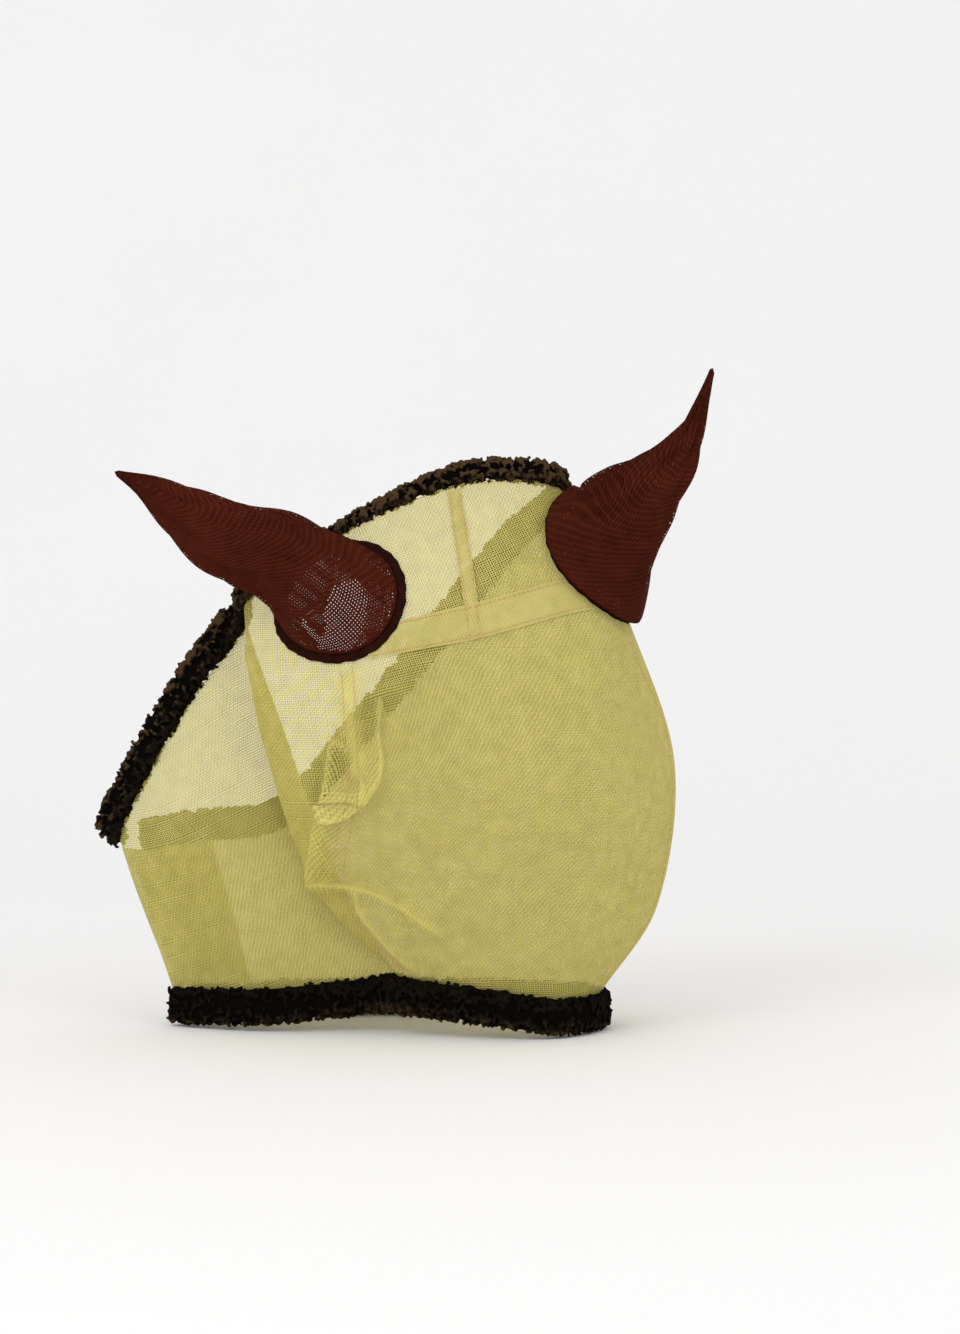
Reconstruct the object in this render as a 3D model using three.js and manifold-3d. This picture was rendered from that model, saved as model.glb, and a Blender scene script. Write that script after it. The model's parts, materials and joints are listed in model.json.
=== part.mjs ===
// A horse's fly mask with ears, standing on the fleece of its nose edge.
// Millimetres, +Z up. The face looks along -Y, and the jaw closure is at -X, behind.
// "Left" and "right" are the sides seen from in front of the face.
import * as THREE from "three";
import { mergeVertices } from "three/addons/utils/BufferGeometryUtils.js";
import Module from "manifold-3d";

// ---- Driving dimensions ----
const CLOTH = 1.2; // thickness of the coated mesh cloth
const NET = 1.0; // thickness of the ears' soft net
const TAPE = 1.4; // thickness of tapes and bindings
const GAP = 0.4; // between pieces sewn to each other
const SEAM_GAP = 0.7; // between two panels along their seam
const FLEECE_THICK = 15;
const NOSE_FLEECE_DEPTH = 31;
const THROAT_FLEECE_DEPTH = 25;
const FLEECE_CORNER = 4;
const EDGE_GAP = 1.8; // between the cloth's edge and its fleece
const BROW = 0.7; // share of the way from nose to throat where the brow seam runs
const BROW_BAND_WIDTH = 0.064; // on the same scale, upwards from just under the seam
const CLOSURE_LAYER = 3; // how far the tongue and the flap lie in and out of the cloth line
const EAR_SWING_DOWN = 20; // degrees
const EAR_SWING_UP = 25;

// ---- The shell's form ----
// Each line runs up the cloth from the nose edge to the throat or poll edge. The lines go round the mask:
// jaw fold, left cheek, left fold of the face, face, right side, and back along the hidden side.
const STATIONS = [0, 0.22, 0.46, BROW, 1];
const LINES = [
  [[-184, 12, 32], [-194, 12, 61], [-206, 13, 92], [-217, 14, 122], [-227, 15, 154]], // 0 jaw fold
  [[-112, -26, 35], [-132, -32, 80], [-156, -28, 126], [-180, -16, 168], [-206, 4, 212]], // 1 left cheek
  [[-42, -30, 42], [-66, -34, 102], [-96, -28, 168], [-126, -16, 230], [-158, 0, 292]], // 2 left cheek, rear
  [[4, -34, 48], [-32, -24, 114], [-64, -16, 190], [-90, -10, 262], [-122, -4, 340]], // 3 valley
  [[16, -52, 48], [-48, -60, 112], [-84, -64, 195], [-108, -50, 290], [-116, -16, 368]], // 4 left fold
  [[50, -64, 45], [10, -86, 110], [-12, -98, 205], [-20, -86, 318], [-54, -38, 414]], // 5 left eye
  [[98, -74, 40], [92, -100, 110], [85, -118, 210], [76, -104, 338], [58, -52, 463]], // 6 middle of the face
  [[148, -64, 32], [172, -92, 108], [184, -106, 210], [176, -84, 362], [136, -38, 465]], // 7 right eye
  [[183, -18, 32], [230, -20, 108], [244, -22, 230], [208, -26, 340], [152, -14, 446]], // 8 right fold
  [[170, 30, 31], [212, 44, 98], [222, 50, 190], [182, 46, 300], [118, 32, 412]], // 9 hidden side
  [[108, 58, 31], [132, 84, 92], [132, 98, 172], [106, 92, 252], [60, 68, 338]], // 10
  [[30, 68, 31], [34, 92, 78], [30, 100, 132], [14, 96, 188], [-14, 84, 246]], // 11
  [[-60, 62, 31], [-62, 76, 60], [-68, 82, 96], [-76, 82, 132], [-86, 76, 168]], // 12
  [[-130, 42, 31], [-136, 50, 60], [-146, 54, 92], [-155, 54, 124], [-165, 50, 156]], // 13 closure
].map((line) => line.map((p) => new THREE.Vector3(...p)));

// Cubic through points p at knots k, with tangents from the neighbours.
function cubic(k, p, i, t, wrap) {
  const n = p.length;
  const at = (j) => (wrap ? p[(j + n) % n] : p[THREE.MathUtils.clamp(j, 0, n - 1)]);
  const knot = (j) => {
    if (!wrap) return k[THREE.MathUtils.clamp(j, 0, n - 1)];
    return k[(j + n) % n] + (j < 0 ? -wrap : j >= n ? wrap : 0);
  };
  const h = knot(i + 1) - knot(i);
  const s = (t - knot(i)) / h;
  const slope = (j) => at(j + 1).clone().sub(at(j - 1)).divideScalar(knot(j + 1) - knot(j - 1));
  return new THREE.Vector3()
    .addScaledVector(at(i), (1 + 2 * s) * (1 - s) ** 2)
    .addScaledVector(slope(i), s * (1 - s) ** 2 * h)
    .addScaledVector(at(i + 1), s * s * (3 - 2 * s))
    .addScaledVector(slope(i + 1), s * s * (s - 1) * h);
}

// Knots round the mask, closer together where the lines are close.
const KNOTS = [0];
for (let i = 1; i <= LINES.length; i++) {
  const here = LINES[i % LINES.length][2];
  KNOTS.push(KNOTS[i - 1] + Math.sqrt(here.distanceTo(LINES[i - 1][2])));
}
const ROUND = KNOTS.pop();

// A point of the cloth: u counts the lines round the mask, v runs from the nose edge to the throat edge.
function cloth(u, v) {
  const n = LINES.length;
  const turn = ((u % n) + n) % n;
  const i = Math.floor(turn);
  const next = i + 1 < n ? KNOTS[i + 1] : ROUND;
  const station = Math.min(STATIONS.findIndex((s, j) => j > 0 && v <= s + 1e-9) - 1, STATIONS.length - 2);
  const across = LINES.map((line) => cubic(STATIONS, line, station < 0 ? 3 : station, v));
  return cubic(KNOTS, across, i, KNOTS[i] + (turn - i) * (next - KNOTS[i]), ROUND);
}

function frameAt(u, v) {
  const e = 1e-3;
  const along = cloth(u + e, v).sub(cloth(u - e, v)).normalize();
  const up = cloth(u, Math.min(v + e, 1)).sub(cloth(u, Math.max(v - e, 0))).normalize();
  const out = along.clone().cross(up).normalize();
  return { p: cloth(u, v), along, up: out.clone().cross(along), out };
}

const offset = (u, v, distance) => {
  const f = frameAt(u, v);
  return f.p.addScaledVector(f.out, distance);
};

// ---- Closed solids from grids and rings ----
// The faces are turned outwards whichever way round the triangles come.
function geometryOf(points, triangles) {
  const part = ([a, b, c]) => points[a].dot(points[b].clone().cross(points[c]));
  const volume = triangles.reduce((sum, triangle) => sum + part(triangle), 0);
  const facing = volume > 0 ? triangles : triangles.map(([a, b, c]) => [a, c, b]);
  return new THREE.BufferGeometry().setFromPoints(points).setIndex(facing.flat());
}

// A thin solid between two grids of the same size. A closed one joins its last column to its first.
function thinSolid(outer, inner, closed = false) {
  const columns = outer.length;
  const rows = outer[0].length;
  const points = [...outer.flat(), ...inner.flat()];
  const o = (i, j) => (i % columns) * rows + j;
  const n = (i, j) => columns * rows + o(i, j);
  const triangles = [];
  const quad = (a, b, c, d) => triangles.push([a, b, c], [a, c, d]);
  for (let i = 0; i < (closed ? columns : columns - 1); i++) {
    for (let j = 0; j < rows - 1; j++) {
      quad(o(i, j), o(i + 1, j), o(i + 1, j + 1), o(i, j + 1));
      quad(n(i, j), n(i, j + 1), n(i + 1, j + 1), n(i + 1, j));
    }
    quad(n(i, 0), n(i + 1, 0), o(i + 1, 0), o(i, 0));
    quad(o(i, rows - 1), o(i + 1, rows - 1), n(i + 1, rows - 1), n(i, rows - 1));
  }
  for (let j = 0; !closed && j < rows - 1; j++) {
    quad(n(0, j), o(0, j), o(0, j + 1), n(0, j + 1));
    quad(o(columns - 1, j), n(columns - 1, j), n(columns - 1, j + 1), o(columns - 1, j + 1));
  }
  return geometryOf(points, triangles);
}

// A solid through rings of points, with flat ends, or closed on itself.
function ringSolid(rings, closed = false) {
  const size = rings[0].length;
  const at = (i, j) => (i % rings.length) * size + (j % size);
  const triangles = [];
  for (let i = 0; i < (closed ? rings.length : rings.length - 1); i++)
    for (let j = 0; j < size; j++) {
      triangles.push([at(i, j), at(i + 1, j), at(i + 1, j + 1)], [at(i, j), at(i + 1, j + 1), at(i, j + 1)]);
    }
  for (let j = 1; !closed && j < size - 1; j++) {
    triangles.push([at(0, 0), at(0, j), at(0, j + 1)]);
    triangles.push([at(rings.length - 1, 0), at(rings.length - 1, j + 1), at(rings.length - 1, j)]);
  }
  return geometryOf(rings.flat(), triangles);
}

// ---- Booleans ----
const wasm = await Module();
wasm.setup();

function solidOf(geometry) {
  const bare = new THREE.BufferGeometry().setAttribute("position", geometry.getAttribute("position"));
  bare.setIndex(geometry.index);
  const merged = mergeVertices(bare, 1e-4);
  return new wasm.Manifold(
    new wasm.Mesh({
      numProp: 3,
      vertProperties: merged.getAttribute("position").array,
      triVerts: new Uint32Array(merged.index.array),
    }),
  );
}

function subtract(geometry, ...tools) {
  let solid = solidOf(geometry);
  for (const tool of tools) solid = solid.subtract(solidOf(tool));
  const mesh = solid.getMesh();
  const cut = new THREE.BufferGeometry();
  cut.setAttribute("position", new THREE.BufferAttribute(mesh.vertProperties, 3));
  return cut.setIndex(new THREE.BufferAttribute(mesh.triVerts, 1));
}

// ---- Materials ----
const material = (color, roughness) => new THREE.MeshStandardMaterial({ color, roughness, metalness: 0 });
const YELLOW_MESH = material(0xcfc070, 0.6);
const YELLOW_TAPE = material(0xd8c97c, 0.7);
const BROWN_NET = material(0x5a2416, 0.7);
const DARK_BINDING = material(0x2e110d, 0.8);
const BROWN_FLEECE = material(0x2c1c10, 1.0);
const HOOK_AND_LOOP = material(0xd9cf98, 0.9);

const mask = new THREE.Group();
function add(name, geometry, look) {
  const mesh = new THREE.Mesh(geometry, look);
  mesh.name = name;
  mask.add(mesh);
}

// ---- Mesh panels ----
const steps = (from, to, count) => Array.from({ length: count + 1 }, (_, i) => from + ((to - from) * i) / count);
const ALONG_V = [...steps(0, BROW, 11), ...steps(BROW, 1, 5).slice(1)];
const seamShare = SEAM_GAP / 2 / 420; // half a seam gap, as a share of the mask's length

// The cloth's seams, as u at a given v. The face meets the temples at its eye darts and its nose darts.
const through = (pairs) => (v) => {
  const i = Math.max(1, pairs.findIndex(([at]) => v <= at + 1e-9));
  const [[v0, u0], [v1, u1]] = [pairs[i - 1], pairs[i]];
  return THREE.MathUtils.lerp(u0, u1, THREE.MathUtils.smoothstep(v, v0, v1));
};
const LEFT_DART = through([[0, 4.35], [0.24, 4.45], [0.5, 4.86], [1, 4.9]]);
const RIGHT_DART = through([[0, 7.86], [0.24, 7.97], [0.5, 7.92], [BROW, 7.42], [1, 7.5]]);
const CHEEK_SEAM = 3;
const HIDDEN_SEAM = 9;

// A panel of cloth between two seams, at a distance out from the cloth line.
function panel({ from, to, rows, columns, out = 0, thick = CLOTH }) {
  const start = typeof from === "number" ? () => from : from;
  const end = typeof to === "number" ? () => to : to;
  const grid = (distance) =>
    steps(0, 1, columns).map((s) =>
      rows.map((v) => {
        const gap = SEAM_GAP / 2 / cloth(start(v), v).distanceTo(cloth(end(v), v));
        const share = gap + s * (1 - 2 * gap);
        return offset(THREE.MathUtils.lerp(start(v), end(v), share), v, distance);
      }),
    );
  return thinSolid(grid(out + thick / 2), grid(out - thick / 2));
}

const BELOW_BROW = [...ALONG_V.filter((v) => v < BROW - 0.01), BROW - seamShare];
const ABOVE_BROW = [BROW + seamShare, ...ALONG_V.filter((v) => v > BROW + 0.01)];

// ---- Ear openings ----
// An oval on the cloth. turn sets where angle 0 is, and side is 1 or -1 for the left or right ear.
const ovalPoint = (ear, angle, distance, grow = 0) => {
  const a = angle + ear.turn;
  const [u, v] = [ear.u + ear.side * ear.ru * Math.sin(a), ear.v + ear.rv * Math.cos(a)];
  const f = frameAt(u, v);
  const middle = cloth(ear.u, ear.v);
  const away = f.p.clone().sub(middle);
  away.addScaledVector(f.out, -away.dot(f.out)).normalize();
  return f.p.addScaledVector(f.out, distance).addScaledVector(away, grow);
};

const EAR_SIDES = 24;
const turnSteps = (count) => Array.from({ length: count }, (_, i) => (2 * Math.PI * i) / count);

// A plug through the cloth, as large as the opening grown by grow.
function punch(ear, grow) {
  const out = frameAt(ear.u, ear.v).out;
  const ring = (distance) =>
    turnSteps(EAR_SIDES).map((a) => ovalPoint(ear, a, 0, grow).addScaledVector(out, distance));
  return ringSolid([ring(-14), ring(14)]);
}

const BINDING_WIDTH = 7;
// Sections of the sleeve beyond the neck: middle, half-width across the ear, half-depth.
const LEFT_EAR = {
  name: "left_ear",
  side: 1,
  u: 4.95,
  v: 0.845,
  ru: 0.5,
  rv: 0.125,
  turn: THREE.MathUtils.degToRad(50),
  across: new THREE.Vector3(0.4, 0, 0.917),
  neck: { at: [-91, -70, 405], half: 36, deep: 21 },
  sleeve: [
    { at: [-116, -74, 414], half: 34, deep: 18 },
    { at: [-146, -72, 427], half: 28, deep: 13 },
    { at: [-177, -66, 446], half: 19, deep: 9 },
    { at: [-202, -62, 463], half: 9, deep: 5 },
    { at: [-222, -60, 473], half: 2.6, deep: 2.4 },
  ],
};
const RIGHT_EAR = {
  name: "right_ear",
  side: -1,
  u: 7.36,
  v: 0.825,
  ru: 0.6,
  rv: 0.13,
  turn: 0,
  across: new THREE.Vector3(-0.76, 0, 0.65),
  neck: { at: [198, -66, 436], half: 41, deep: 23 },
  sleeve: [
    { at: [214, -68, 456], half: 33, deep: 18 },
    { at: [232, -66, 474], half: 23, deep: 13 },
    { at: [250, -60, 494], half: 14, deep: 9 },
    { at: [263, -54, 522], half: 7, deep: 5.5 },
    { at: [274, -50, 558], half: 2.6, deep: 2.4 },
  ],
};

// ---- Panels ----
for (const [name, from, to, columns] of [
  ["left_cheek_panel", 0.12, CHEEK_SEAM, 10],
  ["left_temple_panel", CHEEK_SEAM, LEFT_DART, 10],
  ["right_temple_panel", RIGHT_DART, HIDDEN_SEAM, 8],
]) {
  let geometry = panel({ from, to, rows: ALONG_V, columns });
  if (name === "left_temple_panel") geometry = subtract(geometry, punch(LEFT_EAR, 0));
  if (name === "right_temple_panel") geometry = subtract(geometry, punch(RIGHT_EAR, 0));
  add(name, geometry, YELLOW_MESH);
}
const facePanel = panel({ from: LEFT_DART, to: RIGHT_DART, rows: BELOW_BROW, columns: 14 });
add("face_panel", subtract(facePanel, punch(LEFT_EAR, 0), punch(RIGHT_EAR, 0)), YELLOW_MESH);
const POLL_SEAM = 6;
const leftPoll = panel({ from: LEFT_DART, to: POLL_SEAM, rows: ABOVE_BROW, columns: 8 });
add("left_poll_panel", subtract(leftPoll, punch(LEFT_EAR, 0)), YELLOW_MESH);
const rightPoll = panel({ from: POLL_SEAM, to: RIGHT_DART, rows: ABOVE_BROW, columns: 8 });
add("right_poll_panel", subtract(rightPoll, punch(RIGHT_EAR, 0)), YELLOW_MESH);

// The hidden cheek runs under the flap as a tongue, so it lies further in there.
const CLOSURE_FROM = 12.85;
const FLAP_END = 13.86;
const hiddenOut = (u) => -CLOSURE_LAYER * THREE.MathUtils.smoothstep(u, CLOSURE_FROM - 0.5, CLOSURE_FROM);
function hiddenGrid(distance) {
  const gap = 0.004;
  return steps(HIDDEN_SEAM + gap, FLAP_END, 16).map((u) => ALONG_V.map((v) => offset(u, v, hiddenOut(u) + distance)));
}
add("right_cheek_panel", thinSolid(hiddenGrid(CLOTH / 2), hiddenGrid(-CLOTH / 2)), YELLOW_MESH);

// ---- Jaw closure: hook tape on the flap, loop tape on the tongue ----
const flap = { from: CLOSURE_FROM, to: 13.9, rows: ALONG_V, columns: 8, out: CLOSURE_LAYER / 2 };
add("closure_flap", panel(flap), YELLOW_MESH);
const TAPE_ROWS = steps(0.08, 0.92, 8);
const FLAP_FACE = CLOSURE_LAYER / 2 - CLOTH / 2;
const TONGUE_FACE = -CLOSURE_LAYER + CLOTH / 2;
const layer = (FLAP_FACE - TONGUE_FACE - 3 * GAP) / 2;
add(
  "flap_hook_tape",
  panel({ from: 12.95, to: 13.5, rows: TAPE_ROWS, columns: 5, out: FLAP_FACE - GAP - layer / 2, thick: layer }),
  HOOK_AND_LOOP,
);
add(
  "cheek_loop_tape",
  panel({ from: 12.95, to: 13.5, rows: TAPE_ROWS, columns: 5, out: TONGUE_FACE + GAP + layer / 2, thick: layer }),
  HOOK_AND_LOOP,
);

// ---- Tapes over the seams and the flap's free edge ----
const TAPE_OUT = CLOTH / 2 + GAP + TAPE / 2;
add(
  "flap_edge_binding",
  panel({
    from: CLOSURE_FROM,
    to: CLOSURE_FROM + 0.2,
    rows: ALONG_V.slice(1, -1),
    columns: 2,
    out: CLOSURE_LAYER / 2 + TAPE_OUT,
    thick: TAPE,
  }),
  YELLOW_TAPE,
);
const bandStart = BROW - 0.004;
const bandRows = steps(bandStart, bandStart + BROW_BAND_WIDTH, 2);
const browBand = panel({ from: 5.04, to: 7.02, rows: bandRows, columns: 16, out: TAPE_OUT, thick: TAPE });
const bandRoom = BINDING_WIDTH + 4;
add("brow_band", subtract(browBand, punch(LEFT_EAR, bandRoom), punch(RIGHT_EAR, bandRoom)), YELLOW_TAPE);
add(
  "poll_centre_tape",
  panel({
    from: POLL_SEAM - 0.06,
    to: POLL_SEAM + 0.06,
    rows: steps(bandStart + BROW_BAND_WIDTH + 0.004, 0.99, 6),
    columns: 2,
    out: TAPE_OUT,
    thick: TAPE,
  }),
  YELLOW_TAPE,
);

// ---- Fleece trim ----
// A band with cut corners that carries on from the cloth's edge, down from the nose edge or up from the throat edge.
function fleece(from, to, count, edge, out = 0) {
  const down = edge === 0;
  const depth = down ? NOSE_FLEECE_DEPTH : THROAT_FLEECE_DEPTH;
  const half = FLEECE_THICK / 2;
  const slim = half - FLEECE_CORNER;
  const section = [
    [-slim, EDGE_GAP], [-half, EDGE_GAP + FLEECE_CORNER], [-half, depth - FLEECE_CORNER], [-slim, depth],
    [slim, depth], [half, depth - FLEECE_CORNER], [half, EDGE_GAP + FLEECE_CORNER], [slim, EDGE_GAP],
  ];
  const rings = steps(from, to, count).map((u) => {
    const f = frameAt(u, edge);
    const away = down ? new THREE.Vector3(0, 0, -1) : f.up;
    const side = down ? f.along.clone().cross(new THREE.Vector3(0, 0, 1)).normalize() : f.out;
    return section.map(([n, d]) => f.p.clone().addScaledVector(side, n + out).addScaledVector(away, d));
  });
  return ringSolid(rings);
}
const END = 0.012; // half the gap between two lengths of fleece, in u
// From the jaw fold to the fleece's ends on the cheek and on the flap, in u.
const CHEEK_ROOM = 0.2;
const FLAP_ROOM = 0.3;
const FLEECES = [
  ["nose_fleece_cheek", CHEEK_ROOM, 3.5, 16, 0],
  ["nose_fleece_face", 3.5, 8.4, 22, 0],
  ["nose_fleece_hidden", 8.4, CLOSURE_FROM, 18, 0],
  ["throat_fleece_cheek", CHEEK_ROOM, 3.6, 14, 1],
  ["throat_fleece_poll", 3.6, 8.3, 24, 1],
  ["throat_fleece_hidden", 8.3, CLOSURE_FROM, 18, 1],
  ["flap_nose_fleece", CLOSURE_FROM, 14 - FLAP_ROOM, 6, 0],
  ["flap_throat_fleece", CLOSURE_FROM, 14 - FLAP_ROOM, 6, 1],
];
for (const [name, from, to, count, edge] of FLEECES)
  add(name, fleece(from + END, to - END, count, edge), BROWN_FLEECE);

// ---- Ears ----
// A ring of the sleeve: angle 0 is across the ear, a quarter turn on is its front.
function sleeveRing(ear, { at, half, deep }, angles) {
  const front = new THREE.Vector3(0, -1, 0);
  return angles.map((a) =>
    new THREE.Vector3(...at)
      .addScaledVector(ear.across, half * Math.cos(a))
      .addScaledVector(front, deep * Math.sin(a)),
  );
}

function inward(grid, closed, thick) {
  const columns = grid.length;
  const rows = grid[0].length;
  const side = (i) => (closed ? (i + columns) % columns : THREE.MathUtils.clamp(i, 0, columns - 1));
  return grid.map((column, i) =>
    column.map((p, j) => {
      const along = grid[side(i + 1)][j].clone().sub(grid[side(i - 1)][j]);
      const up = column[Math.min(j + 1, rows - 1)].clone().sub(column[Math.max(j - 1, 0)]);
      return p.clone().addScaledVector(along.cross(up).normalize(), thick);
    }),
  );
}

// Turns rows of rings into columns, one for each angle.
const columnsOf = (rings) => rings[0].map((_, i) => rings.map((ring) => ring[i]));

function netSolid(rings, closed, side) {
  const grid = columnsOf(rings);
  return thinSolid(inward(grid, closed, side * NET), grid, closed);
}

const NECK_GAP = 1.2;
function addEar(ear) {
  const angles = turnSteps(EAR_SIDES);
  const axis = new THREE.Vector3(...ear.sleeve[0].at).sub(new THREE.Vector3(...ear.neck.at)).normalize();

  // Binding round the opening, on the outside of the cloth.
  const low = CLOTH / 2 + 2 * GAP;
  const corners = [[-1.5, low], [BINDING_WIDTH, low], [BINDING_WIDTH, low + TAPE], [-1.5, low + TAPE]];
  const rings = angles.map((a) => corners.map(([grow, out]) => ovalPoint(ear, a, out, grow)));
  add(ear.name + "_binding", ringSolid(rings, true), DARK_BINDING);

  // Lower net, from the binding to the neck.
  const base = angles.map((a) => ovalPoint(ear, a, low + TAPE + GAP + NET, 2.5));
  const neck = sleeveRing(ear, ear.neck, angles);
  const lower = steps(0, 1, 4).map((t) =>
    base.map((p, i) => {
      const lift = new THREE.Vector3(0, -9 * Math.sin(Math.PI * t), 0);
      return p.clone().lerp(neck[i], t).add(lift);
    }),
  );
  add(ear.name + "_lower_net", netSolid(lower, true, ear.side), BROWN_NET);

  // Upper net in a front and a back half, sewn along both edges, that swings on the neck.
  const beyondNeck = (distance) => new THREE.Vector3(...ear.neck.at).addScaledVector(axis, distance);
  const hinge = beyondNeck(NECK_GAP);
  const cuts = [EAR_SWING_UP, -EAR_SWING_DOWN].map((degrees) => {
    const block = new THREE.BoxGeometry(200, 200, 200);
    block.translate(-100, 0, 0);
    const facing = Math.atan2(ear.side * ear.across.x, -ear.side * ear.across.z);
    const swing = THREE.MathUtils.degToRad(ear.side * degrees);
    block.rotateY(-(facing + swing));
    return block.translate(hinge.x, hinge.y, hinge.z);
  });
  for (const [half, from] of [["front", 0], ["back", Math.PI]]) {
    const first = { ...ear.neck, at: beyondNeck(NECK_GAP / 2).toArray() };
    const sections = [first, ...ear.sleeve].map((section) => {
      const edge = Math.asin(SEAM_GAP / section.deep);
      return sleeveRing(ear, section, steps(from + edge, from + Math.PI - edge, 10));
    });
    add(`${ear.name}_${half}_net`, subtract(netSolid(sections, false, ear.side), ...cuts), BROWN_NET);
  }
}
addEar(LEFT_EAR);
addEar(RIGHT_EAR);

// The part's origin is under the middle of its box, on the floor.
const box = new THREE.Box3().setFromObject(mask);
const middle = box.getCenter(new THREE.Vector3());
mask.position.set(-middle.x, -middle.y, -box.min.z);

export default mask;
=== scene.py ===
"""A horse's fly mask in yellow mesh, with brown net ears and dark fleece edges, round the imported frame.

Everything is in metres, in the frame of the CAD part: +Z up, and the face looks along -Y.
A place on the cloth is (u, v): u counts the design lines round the mask, and v runs from the nose edge, 0,
to the throat edge, 1.
"""

import json
import math

import bmesh
import bpy
import numpy as np
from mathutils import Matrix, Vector
from mathutils.bvhtree import BVHTree


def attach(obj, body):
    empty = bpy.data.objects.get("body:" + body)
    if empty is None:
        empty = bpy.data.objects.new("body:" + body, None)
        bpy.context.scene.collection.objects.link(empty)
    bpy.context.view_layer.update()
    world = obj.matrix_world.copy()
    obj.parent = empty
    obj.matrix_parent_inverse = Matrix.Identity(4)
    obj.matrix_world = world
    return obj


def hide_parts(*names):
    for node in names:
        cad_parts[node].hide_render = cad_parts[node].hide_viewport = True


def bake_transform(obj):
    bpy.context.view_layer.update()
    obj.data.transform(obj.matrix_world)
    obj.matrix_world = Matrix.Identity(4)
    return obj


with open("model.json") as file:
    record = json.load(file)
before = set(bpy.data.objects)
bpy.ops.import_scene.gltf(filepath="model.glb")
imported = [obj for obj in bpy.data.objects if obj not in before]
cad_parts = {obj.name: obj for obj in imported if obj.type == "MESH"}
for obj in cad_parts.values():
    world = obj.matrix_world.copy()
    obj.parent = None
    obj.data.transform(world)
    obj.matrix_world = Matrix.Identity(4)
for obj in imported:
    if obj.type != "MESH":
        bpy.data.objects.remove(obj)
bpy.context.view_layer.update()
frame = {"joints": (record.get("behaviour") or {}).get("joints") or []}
rng = np.random.default_rng(7)

# ---- Design sizes ----
YARN_PITCH = 0.0019
NET_PITCH = 0.0026
BINDING_WIDTH = 0.011
STITCH_PITCH = 0.0042
CLOTH_STEP = 0.002
# Painted shade: the hidden side's weave is closed a little to stand in for the shade inside the mask, so
# less of the bright backdrop shows through both layers.
HIDDEN_CLOSED = 0.25
NOSE_FLEECE_DEPTH = 0.031
THROAT_FLEECE_DEPTH = 0.026
FLEECE_THICK = 0.015
# The throat's fleece narrows towards the left ear: places round the mask, and its share of full size there.
THROAT_FLEECE_SHARE = [(0, 1), (3.2, 1), (4.0, 0.55), (5.2, 0.3), (6.1, 0.7), (8.3, 0.85), (9.5, 1)]
CLOSURE_FROM = 12.85
CLOSURE_END = 13.86
CLOSURE_LAYER = 0.003
BROW = 0.7
BAND_START = BROW - 0.004
BAND_END = BROW + 0.06
POLL_SEAM = 6
CHEEK_SEAM = 3
JAW_SEAM = 0.1
HIDDEN_SEAM = 9
ROUND_LINES = 14
JAW_FOLD = ROUND_LINES
# How far the fleeces stop short of the jaw fold, in design lines, so that the flap can open.
NOSE_FLEECE_ROOM = 0.08, 0.44
THROAT_FLEECE_ROOM = 0.06, 0.38
degrees = math.radians

CURL_SPACING = 0.0035
CURL_HEIGHT = 0.0023
CURL_RADIUS = 0.0016
CURL_BALLS = 4
CORE_SIDES = 24
FLEECE_VOXEL = 0.0008

# The shell's design points in the CAD's millimetres, from the jaw fold round the face to the back.
STATIONS = np.array([0, 0.22, 0.46, BROW, 1])
LINES = np.array(
    [
        [[-184, 12, 32], [-194, 12, 61], [-206, 13, 92], [-217, 14, 122], [-227, 15, 154]],
        [[-112, -26, 35], [-132, -32, 80], [-156, -28, 126], [-180, -16, 168], [-206, 4, 212]],
        [[-42, -30, 42], [-66, -34, 102], [-96, -28, 168], [-126, -16, 230], [-158, 0, 292]],
        [[4, -34, 48], [-32, -24, 114], [-64, -16, 190], [-90, -10, 262], [-122, -4, 340]],
        [[16, -52, 48], [-48, -60, 112], [-84, -64, 195], [-108, -50, 290], [-116, -16, 368]],
        [[50, -64, 45], [10, -86, 110], [-12, -98, 205], [-20, -86, 318], [-54, -38, 414]],
        [[98, -74, 40], [92, -100, 110], [85, -118, 210], [76, -104, 338], [58, -52, 463]],
        [[148, -64, 32], [172, -92, 108], [184, -106, 210], [176, -84, 362], [136, -38, 465]],
        [[183, -18, 32], [230, -20, 108], [244, -22, 230], [208, -26, 340], [152, -14, 446]],
        [[170, 30, 31], [212, 44, 98], [222, 50, 190], [182, 46, 300], [118, 32, 412]],
        [[108, 58, 31], [132, 84, 92], [132, 98, 172], [106, 92, 252], [60, 68, 338]],
        [[30, 68, 31], [34, 92, 78], [30, 100, 132], [14, 96, 188], [-14, 84, 246]],
        [[-60, 62, 31], [-62, 76, 60], [-68, 82, 96], [-76, 82, 132], [-86, 76, 168]],
        [[-130, 42, 31], [-136, 50, 60], [-146, 54, 92], [-155, 54, 124], [-165, 50, 156]],
    ]
) / 1000
hinge = {joint["name"]: np.array(joint["pos_m"]) for joint in frame["joints"]}
CAD_SHIFT = hinge["jaw_flap_hinge"] - LINES[0, 0]
LINES = LINES + CAD_SHIFT


# ---- The cloth as a function ----
def ease(s):
    """A smooth step from 0 to 1."""
    s = np.clip(s, 0, 1)
    return s * s * (3 - 2 * s)


def hermite(p0, p1, m0, m1, s, h):
    """A cubic from p0 to p1 with end slopes m0 and m1, at share s of a span h."""
    s, h = s[..., None], h[..., None]
    start = (1 + 2 * s) * (1 - s) ** 2 * p0 + s * (1 - s) ** 2 * h * m0
    return start + s * s * (3 - 2 * s) * p1 + s * s * (s - 1) * h * m1


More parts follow.
